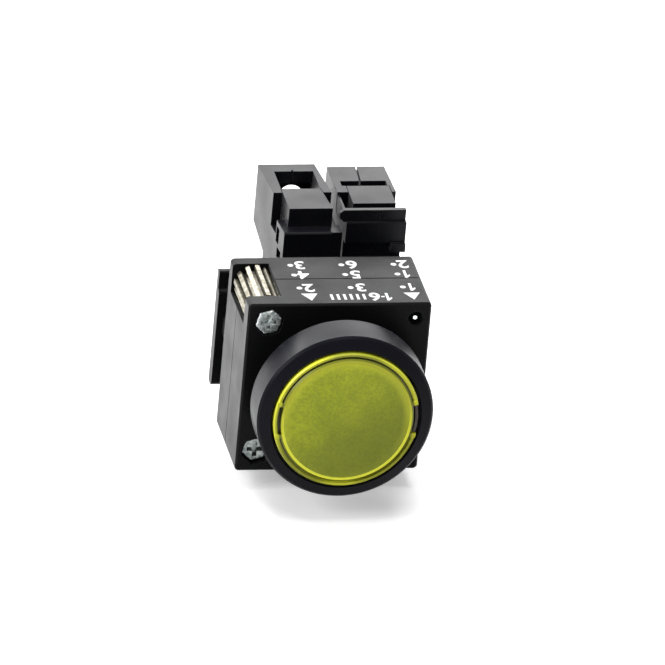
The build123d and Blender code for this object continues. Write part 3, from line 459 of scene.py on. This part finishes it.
# ---------------------------------------------------------------- settings
class ButtonLook(bpy.types.PropertyGroup):
    face_dark: FloatVectorProperty(
        name="Face, dark", description="Tint of the cap where little light comes back",
        subtype="COLOR", size=3, min=0, max=1, default=linear("#c2d02e")[:3])
    face_light: FloatVectorProperty(
        name="Face, light", description="Tint of the cap where the diffuser shows through",
        subtype="COLOR", size=3, min=0, max=1, default=linear("#e6f23a")[:3])
    face_shaded: FloatVectorProperty(
        name="Face, shaded", description="Tint of the cap towards its lower right, away from the light",
        subtype="COLOR", size=3, min=0, max=1, default=linear("#78821e")[:3])
    # painted shade: the tint put at the bottom of the ring groove and the slit
    groove_painted_shade: FloatVectorProperty(
        name="Groove", description="Tint at the bottom of the ring groove and the slit",
        subtype="COLOR", size=3, min=0, max=1, default=linear("#4a4e18")[:3])
    # painted highlight tints of the cap's edges; rim_colour also colours the painted glow of the face's edge
    rim_colour: FloatVectorProperty(
        name="Rim", description="Tint of the cap's edges where they gather most light",
        subtype="COLOR", size=3, min=0, max=1, default=linear("#fdff48")[:3])
    rim_dull: FloatVectorProperty(
        name="Rim, dull", description="Tint of the cap's edges where they gather little light",
        subtype="COLOR", size=3, min=0, max=1, default=linear("#8c9224")[:3])


class MarkingLook(bpy.types.PropertyGroup):
    ink: FloatVectorProperty(
        name="Ink", description="Colour of the printed position numbers",
        subtype="COLOR", size=3, min=0, max=1, default=linear("#dcdcdc")[:3])
    digit_height: FloatProperty(
        name="Digit height", description="Height of the position numbers",
        unit="LENGTH", default=2.65 * MM)
    dot_size: FloatProperty(
        name="Dot", description="Diameter of the dot beside each number",
        unit="LENGTH", default=0.95 * MM)
    range_low: StringProperty(
        name="Range, low", description="Number at the low end of the scale between the arrows",
        default="1")
    range_high: StringProperty(
        name="Range, high", description="Number at the high end of the scale between the arrows",
        default="6")


class StageLook(bpy.types.PropertyGroup):
    azimuth: FloatProperty(
        name="Azimuth", description="Direction the camera looks from, around the vertical",
        subtype="ANGLE", default=math.radians(-12.83))
    elevation: FloatProperty(
        name="Elevation", description="Height angle the camera looks from",
        subtype="ANGLE", default=math.radians(26.4))
    roll: FloatProperty(
        name="Roll", description="Turn of the camera about its own axis",
        subtype="ANGLE", default=math.radians(5.16))
    distance: FloatProperty(
        name="Distance", description="From the camera to the panel plane", unit="LENGTH", default=3.0)
    frame_width: FloatProperty(
        name="View width", description="Width of the view at the panel plane",
        unit="LENGTH", default=106.965 * MM)
    centre_x: FloatProperty(
        name="Offset, across", description="Button axis to the right of the view's centre",
        unit="LENGTH", default=0.135 * MM)
    centre_y: FloatProperty(
        name="Offset, up", description="Button axis above the view's centre",
        unit="LENGTH", default=-8.787 * MM)
    floor_colour: FloatVectorProperty(
        name="Floor", description="Colour of the floor", subtype="COLOR", size=3, min=0, max=1,
        default=linear("#f0f0f0")[:3])
    floor_lift: FloatProperty(
        name="Floor lift", description="Light added to the floor where it is seen", default=0.35)
    room_light: FloatProperty(
        name="Room light", description="Strength of the light from all sides", default=0.3)


# ---------------------------------------------------------------- pieces
def built(name, build):
    """Mesh whose faces a function makes."""
    mesh = bpy.data.meshes.new(name)
    shape = bmesh.new()
    build(shape)
    shape.to_mesh(mesh)
    shape.free()
    return mesh


def drawn(name, curve):
    """Mesh of a curve or of a text."""
    outline = bpy.data.objects.new(name, curve)
    bpy.context.scene.collection.objects.link(outline)
    bpy.context.view_layer.update()
    mesh = bpy.data.meshes.new_from_object(outline)
    bpy.data.objects.remove(outline)
    return mesh


def show(name, mesh, material):
    """Put a mesh in the scene with one material."""
    mesh.materials.clear()
    mesh.materials.append(material)
    piece = bpy.data.objects.new(name, mesh)
    bpy.context.scene.collection.objects.link(piece)
    return piece


CLOSED_TURNS = 0.8  # wound against the next coil at each end of a spring
STEPS_IN_TURN = 24


def coil_spring(node, body, wire, turns):
    """Compression spring with closed end coils in place of a CAD coil."""
    low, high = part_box(node)
    radius = (high.z - low.z - wire) / 2
    middle = (low + high) / 2
    full = high.y - low.y
    length = full - wire
    closed = CLOSED_TURNS / turns
    closed_rise = 1.2 * wire
    open_rise = length - 2 * closed_rise
    steps = int(turns * STEPS_IN_TURN)
    curve = bpy.data.curves.new(node + "_wire", "CURVE")
    curve.dimensions = "3D"
    curve.bevel_depth = wire / 2
    curve.bevel_resolution = 3
    curve.use_fill_caps = True
    line = curve.splines.new("POLY")
    line.points.add(steps)
    for n in range(steps + 1):
        t = n / steps
        if t < closed:
            y = closed_rise * t / closed
        elif t > 1 - closed:
            y = length - closed_rise * (1 - t) / closed
        else:
            y = closed_rise + open_rise * (t - closed) / (1 - 2 * closed)
        turn = 2 * math.pi * turns * t
        line.points[n].co = (middle.x + radius * math.cos(turn), low.y + wire / 2 + y,
                             middle.z + radius * math.sin(turn), 1)
    mesh = drawn(node + "_wire", curve)
    mesh.name = node + "_wound"
    mesh.shade_smooth()
    piece = show(node + "_wound", mesh, finished("stainless_drawn_wire", spring_wire))
    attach(piece, body)
    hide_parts(node)
    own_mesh(piece)
    return piece


FONT_HEIGHT = 0.7  # height of a digit in the built-in font, for a size of 1
BOLDNESS = 0.035  # added around a digit's outline, as a share of its height


def figure_one(height):
    """Outline of a figure 1 with a flag, around the origin."""
    w, h = 0.085 * height, height / 2
    return [(-w, -h), (w, -h), (w, h), (-0.6 * w, h), (-3.1 * w, h - 3.0 * w), (-3.1 * w, h - 5.2 * w),
            (-w, h - 3.6 * w)]


def printed_text(name, words, x, y, height, material):
    """Digits on top of the holder, read from behind."""
    if words == "1":
        mesh = built(name, lambda shape: shape.faces.new(
            [shape.verts.new((px, py, 0)) for px, py in figure_one(height)]))
    else:
        curve = bpy.data.curves.new(name, "FONT")
        curve.body = words
        curve.size = height / FONT_HEIGHT
        curve.offset = BOLDNESS * height
        curve.resolution_u = 6
        mesh = drawn(name + "_outline", curve)
    across = [v.co.x for v in mesh.vertices]
    along = [v.co.y for v in mesh.vertices]
    middle = Vector(((min(across) + max(across)) / 2, (min(along) + max(along)) / 2, 0))
    place = Matrix.Translation((x, y, PRINT_Z)) @ Matrix.Rotation(math.pi, 4, "Z")
    mesh.transform(place @ Matrix.Translation(-middle))
    piece = show(name, mesh, material)
    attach(piece, "unit")
    return piece


# ---------------------------------------------------------------- steps
class PUSHBUTTON_OT_cap(bpy.types.Operator):
    """Yellow cap, its diffuser and the carrier under it"""
    bl_idname = "pushbutton.cap"
    bl_label = "Cap and carrier"

    def execute(self, context):
        give(finished("acrylic_moulded_yellow", yellow_cap), "lens_cap")
        give(finished("polycarbonate_moulded_opal", diffuser_plastic), "legend_disc")
        give(finished("acetal_moulded_grey", carrier_plastic), "button_carrier", "spring_seat")
        coil_spring("return_spring", "unit", wire=0.6 * MM, turns=6)
        return {"FINISHED"}


class PUSHBUTTON_OT_bezel(bpy.types.Operator):
    """Front ring, collar and gasket"""
    bl_idname = "pushbutton.bezel"
    bl_label = "Bezel and collar"

    def execute(self, context):
        give(finished("polyamide_moulded_satin", bezel_plastic), "bezel_ring", "actuator_body")
        give(finished("rubber_pressed_black", seal_rubber), "panel_gasket")
        return {"FINISHED"}


class PUSHBUTTON_OT_holder(bpy.types.Operator):
    """Square holder in two halves and the locking ring"""
    bl_idname = "pushbutton.holder"
    bl_label = "Holder"

    def execute(self, context):
        give(finished("polyamide_moulded_matt", holder_plastic),
             "holder_front_frame", "holder_rear_frame", "locking_ring")
        return {"FINISHED"}


class PUSHBUTTON_OT_clamps(bpy.types.Operator):
    """Clamp screws and frame screws"""
    bl_idname = "pushbutton.clamps"
    bl_label = "Clamp screws"

    def execute(self, context):
        give(finished("zinc_diecast_plated", cast_plate), "clamp_spindle_upper", "clamp_spindle_lower")
        give(finished("steel_zinc_plated", zinc_plate), "clamp_foot_upper")
        # painted shade: the lower foot gets the darker copy of the zinc plating
        give(finished("steel_zinc_painted_shade", shaded_plate), "clamp_foot_lower")
        # painted highlight: the frame screws get the lighter copy of the zinc plating
        give(finished("steel_turned_zinc_painted_glint", glint_plate), "frame_screws")
        return {"FINISHED"}


# Layout of the print in millimetres: across from the button's axis, and back from the panel.
DIGIT_ROWS = ((13.9, "362"), (10.4, "451"), (5.75, "231"))
DIGIT_COLUMNS = ((-4.2, -5.72), (4.35, 2.66), (12.75, 11.25))  # the digit's middle, the dot's middle
RANGE_LOW_AT = (8.3, 2.35)
RANGE_HIGH_AT = (6.0, 2.4)
DASH = (7.35, 2.4, 0.27, 0.2)  # its middle, and half its width and height
TICKS, FIRST_TICK_X, TICK_PITCH = 6, 4.3, 1.06
TICK_Y, TICK_HALF_WIDTH, TICK_HALF_HEIGHT = 2.45, 0.22, 0.95
ARROWS_X = (-4.5, 12.3)
ARROW_TIP_Y, ARROW_BASE_Y, ARROW_HALF_WIDTH = 1.25, 3.75, 1.35


class PUSHBUTTON_OT_markings(bpy.types.Operator):
    """Printed position numbers, dots, arrows and scale on top of the holder"""
    bl_idname = "pushbutton.markings"
    bl_label = "Markings"

    def execute(self, context):
        look = context.scene.marking_look
        ink = finished("ink_pad_printed_white", pad_ink)
        dots = []
        for row, (y, digits) in enumerate(DIGIT_ROWS):
            for column, digit in enumerate(digits):
                x, dot_x = DIGIT_COLUMNS[column]
                printed_text(f"number_{row}_{column}", digit, x * MM, y * MM, look.digit_height, ink)
                dots.append((dot_x * MM, y * MM))
        for name, words, (x, y) in (("number_range_low", look.range_low, RANGE_LOW_AT),
                                    ("number_range_high", look.range_high, RANGE_HIGH_AT)):
            printed_text(name, words, x * MM, y * MM, look.digit_height, ink)

        def polygons(shape, outlines):
            for outline in outlines:
                shape.faces.new([shape.verts.new((x * MM, y * MM, PRINT_Z)) for x, y in outline])

        def scale_marks(shape):
            marks = [DASH]
            marks += [(FIRST_TICK_X - TICK_PITCH * n, TICK_Y, TICK_HALF_WIDTH, TICK_HALF_HEIGHT)
                      for n in range(TICKS)]
            polygons(shape, [[(x - w, y - h), (x + w, y - h), (x + w, y + h), (x - w, y + h)]
                             for x, y, w, h in marks])

        def position_dots(shape):
            for x, y in dots:
                bmesh.ops.create_circle(
                    shape, cap_ends=True, segments=20, radius=look.dot_size / 2,
                    matrix=Matrix.Translation((x, y, PRINT_Z)))

        def position_arrows(shape):
            polygons(shape, [[(x - ARROW_HALF_WIDTH, ARROW_BASE_Y), (x + ARROW_HALF_WIDTH, ARROW_BASE_Y),
                              (x, ARROW_TIP_Y)] for x in ARROWS_X])

        for build in (scale_marks, position_dots, position_arrows):
            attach(show(build.__name__, built(build.__name__, build), ink), "unit")
        return {"FINISHED"}


class PUSHBUTTON_OT_lamp_holder(bpy.types.Operator):
    """Housing and metal parts of the lamp holder"""
    bl_idname = "pushbutton.lamp_holder"
    bl_label = "Lamp holder"

    def execute(self, context):
        give(finished("polyester_moulded_black", block_plastic), "lamp_front_housing", "lamp_rear_housing")
        give(finished("brass_stamped_strip", brass_strip),
             "lamp_terminal_upper", "lamp_terminal_lower", "lamp_socket", "lamp_centre_contact")
        give(finished("steel_zinc_plated", zinc_plate), "lamp_clamps", "lamp_screws")
        give(finished("stainless_drawn_wire", spring_wire), "lamp_contact_spring")
        return {"FINISHED"}


class PUSHBUTTON_OT_lamp(bpy.types.Operator):
    """Signal lamp inside the button"""
    bl_idname = "pushbutton.lamp"
    bl_label = "Lamp"

    def execute(self, context):
        give(finished("brass_drawn_nickelled", nickel_shell), "lamp_cap")
        give(finished("glass_blown_clear", lamp_glass), "lamp_glass")
        give(finished("stainless_drawn_wire", spring_wire), "lamp_filament")
        give(finished("polyester_moulded_black", block_plastic), "lamp_insulator")
        return {"FINISHED"}


class PUSHBUTTON_OT_contact_block(bpy.types.Operator):
    """Housing, plunger and metal parts of the contact block"""
    bl_idname = "pushbutton.contact_block"
    bl_label = "Contact block"

    def execute(self, context):
        give(finished("polyester_moulded_black", block_plastic),
             "contact_front_housing", "contact_rear_housing", "contact_cover_upper", "contact_cover_lower")
        give(finished("acetal_moulded_grey", carrier_plastic), "contact_plunger")
        give(finished("brass_stamped_strip", brass_strip),
             "contact_bridge", "contact_terminal_upper", "contact_terminal_lower")
        give(finished("steel_zinc_plated", zinc_plate), "contact_clamps", "contact_screws")
        coil_spring("plunger_spring", "unit", wire=0.3 * MM, turns=3)
        coil_spring("contact_spring", "plunger", wire=0.35 * MM, turns=5)
        return {"FINISHED"}


# ---------------------------------------------------------------- stage
FLOOR_HALF_WIDTH = 1.5
FLOOR_GAP = 0.01 * MM
SENSOR_WIDTH = 36.0  # of the camera, in its own millimetres
WHITE = (1, 1, 1, 1)


def seen_directly(tree):
    """1 for rays from the camera, from gloss and through glass, 0 for bounced light."""
    path = add(tree, "ShaderNodeLightPath")
    gloss = add(tree, "ShaderNodeMath", None,
                {0: path.outputs["Is Camera Ray"], 1: path.outputs["Is Glossy Ray"]}, operation="MAXIMUM")
    return add(tree, "ShaderNodeMath", None,
               {0: gloss.outputs["Value"], 1: path.outputs["Is Transmission Ray"]}, operation="MAXIMUM")


def floor_finish(name):
    # Matt card: white where it is seen, grey for the light that it throws back, so that
    # only the soft shadow shows on it.
    look = bpy.context.scene.stage_look
    material = new_material(name)
    tree = material.node_tree
    seen = seen_directly(tree)
    back = add(tree, "ShaderNodeBsdfDiffuse", {"Color": linear("#6e6e6e")})
    card = add(tree, "ShaderNodeBsdfDiffuse", {"Color": (*look.floor_colour, 1.0)})
    lift = add(tree, "ShaderNodeEmission", {"Color": WHITE, "Strength": look.floor_lift})
    both = add(tree, "ShaderNodeAddShader", None, {0: card.outputs["BSDF"], 1: lift.outputs["Emission"]})
    mixed = add(tree, "ShaderNodeMixShader", None,
                {0: seen.outputs["Value"], 1: back.outputs["BSDF"], 2: both.outputs["Shader"]})
    add(tree, "ShaderNodeOutputMaterial", None, {"Surface": mixed.outputs["Shader"]})
    return material


def soft_lamp(name, place, target, width, height, power):
    """Rectangular studio lamp aimed at a point."""
    data = bpy.data.lights.new(name, "AREA")
    data.shape = "RECTANGLE"
    data.size = width
    data.size_y = height
    data.energy = power
    lamp = bpy.data.objects.new(name, data)
    lamp.location = place
    lamp.rotation_euler = (Vector(target) - Vector(place)).to_track_quat("-Z", "Y").to_euler()
    bpy.context.scene.collection.objects.link(lamp)
    return lamp


class PUSHBUTTON_OT_stage(bpy.types.Operator):
    """Floor, soft lamps and camera"""
    bl_idname = "pushbutton.stage"
    bl_label = "Stage"

    def execute(self, context):
        look = context.scene.stage_look
        low_z = cad_box[0][2]
        card = built("floor", lambda shape: bmesh.ops.create_grid(
            shape, x_segments=4, y_segments=4, size=FLOOR_HALF_WIDTH))
        floor = show("floor", card, finished("card_white", floor_finish))
        floor.location = (0, 0, low_z - FLOOR_GAP)

        middle = (0, 0.01, 0)
        behind_left = (-0.045, 0.08, low_z)
        soft_lamp("lamp_left", (-0.75, -0.25, 0.45), middle, width=0.5, height=0.5, power=5.0)
        soft_lamp("lamp_top", (0.0, 0.1, 0.9), middle, width=0.6, height=0.6, power=7.0)
        soft_lamp("lamp_behind", (0.2, 1.0, 0.5), middle, width=1.0, height=0.45, power=6.5)
        soft_lamp("lamp_floor", (-0.2, 0.3, 0.2), behind_left, width=0.15, height=0.15, power=1.1)

        world = bpy.data.worlds.new("studio")
        world.use_nodes = True
        tree = world.node_tree
        tree.nodes.clear()
        seen = seen_directly(tree)
        room = add(tree, "ShaderNodeBackground", {"Color": WHITE, "Strength": look.room_light})
        backdrop = add(tree, "ShaderNodeBackground", {"Color": WHITE, "Strength": 1.0})
        mixed = add(tree, "ShaderNodeMixShader", None,
                    {0: seen.outputs["Value"], 1: room.outputs["Background"],
                     2: backdrop.outputs["Background"]})
        add(tree, "ShaderNodeOutputWorld", None, {"Surface": mixed.outputs["Shader"]})
        context.scene.world = world

        az, el, roll = look.azimuth, look.elevation, look.roll
        back = Vector((math.sin(az) * math.cos(el), -math.cos(az) * math.cos(el), math.sin(el)))
        level = Vector((math.cos(az), math.sin(az), 0))
        upright = back.cross(level)
        right = math.cos(roll) * level + math.sin(roll) * upright
        up = -math.sin(roll) * level + math.cos(roll) * upright
        place = back * look.distance - right * look.centre_x - up * look.centre_y
        data = bpy.data.cameras.new("camera")
        data.sensor_width = SENSOR_WIDTH
        data.lens = SENSOR_WIDTH * look.distance / look.frame_width
        data.clip_start = 0.1
        data.clip_end = 20.0
        camera = bpy.data.objects.new("camera", data)
        camera.matrix_world = Matrix((
            (right.x, up.x, back.x, place.x),
            (right.y, up.y, back.y, place.y),
            (right.z, up.z, back.z, place.z),
            (0, 0, 0, 1),
        ))
        context.scene.collection.objects.link(camera)
        context.scene.camera = camera
        context.scene.view_settings.view_transform = "Standard"
        return {"FINISHED"}


# ---------------------------------------------------------------- add-on
class PUSHBUTTON_PT_panel(bpy.types.Panel):
    """Steps that dress the pushbutton"""
    bl_label = "Pushbutton"
    bl_idname = "PUSHBUTTON_PT_panel"
    bl_space_type = "VIEW_3D"
    bl_region_type = "UI"
    bl_category = "Pushbutton"

    def draw(self, context):
        for step in STEPS:
            self.layout.operator(step.bl_idname)
        for group in ("button_look", "marking_look", "stage_look"):
            settings = getattr(context.scene, group)
            for name in settings.bl_rna.properties.keys():
                if name not in ("rna_type", "name"):
                    self.layout.prop(settings, name)


STEPS = (
    PUSHBUTTON_OT_cap, PUSHBUTTON_OT_bezel, PUSHBUTTON_OT_holder, PUSHBUTTON_OT_clamps,
    PUSHBUTTON_OT_markings, PUSHBUTTON_OT_lamp_holder, PUSHBUTTON_OT_lamp,
    PUSHBUTTON_OT_contact_block, PUSHBUTTON_OT_stage,
)
GROUPS = (ButtonLook, MarkingLook, StageLook)


def register():
    for cls in GROUPS + STEPS + (PUSHBUTTON_PT_panel,):
        bpy.utils.register_class(cls)
    bpy.types.Scene.button_look = PointerProperty(type=ButtonLook)
    bpy.types.Scene.marking_look = PointerProperty(type=MarkingLook)
    bpy.types.Scene.stage_look = PointerProperty(type=StageLook)


def unregister():
    del bpy.types.Scene.stage_look
    del bpy.types.Scene.marking_look
    del bpy.types.Scene.button_look
    for cls in reversed(GROUPS + STEPS + (PUSHBUTTON_PT_panel,)):
        bpy.utils.unregister_class(cls)


def main():
    register()
    bpy.ops.pushbutton.cap()
    bpy.ops.pushbutton.bezel()
    bpy.ops.pushbutton.holder()
    bpy.ops.pushbutton.clamps()
    bpy.ops.pushbutton.markings()
    bpy.ops.pushbutton.lamp_holder()
    bpy.ops.pushbutton.lamp()
    bpy.ops.pushbutton.contact_block()
    bpy.ops.pushbutton.stage()


if __name__ == "__main__":
    main()
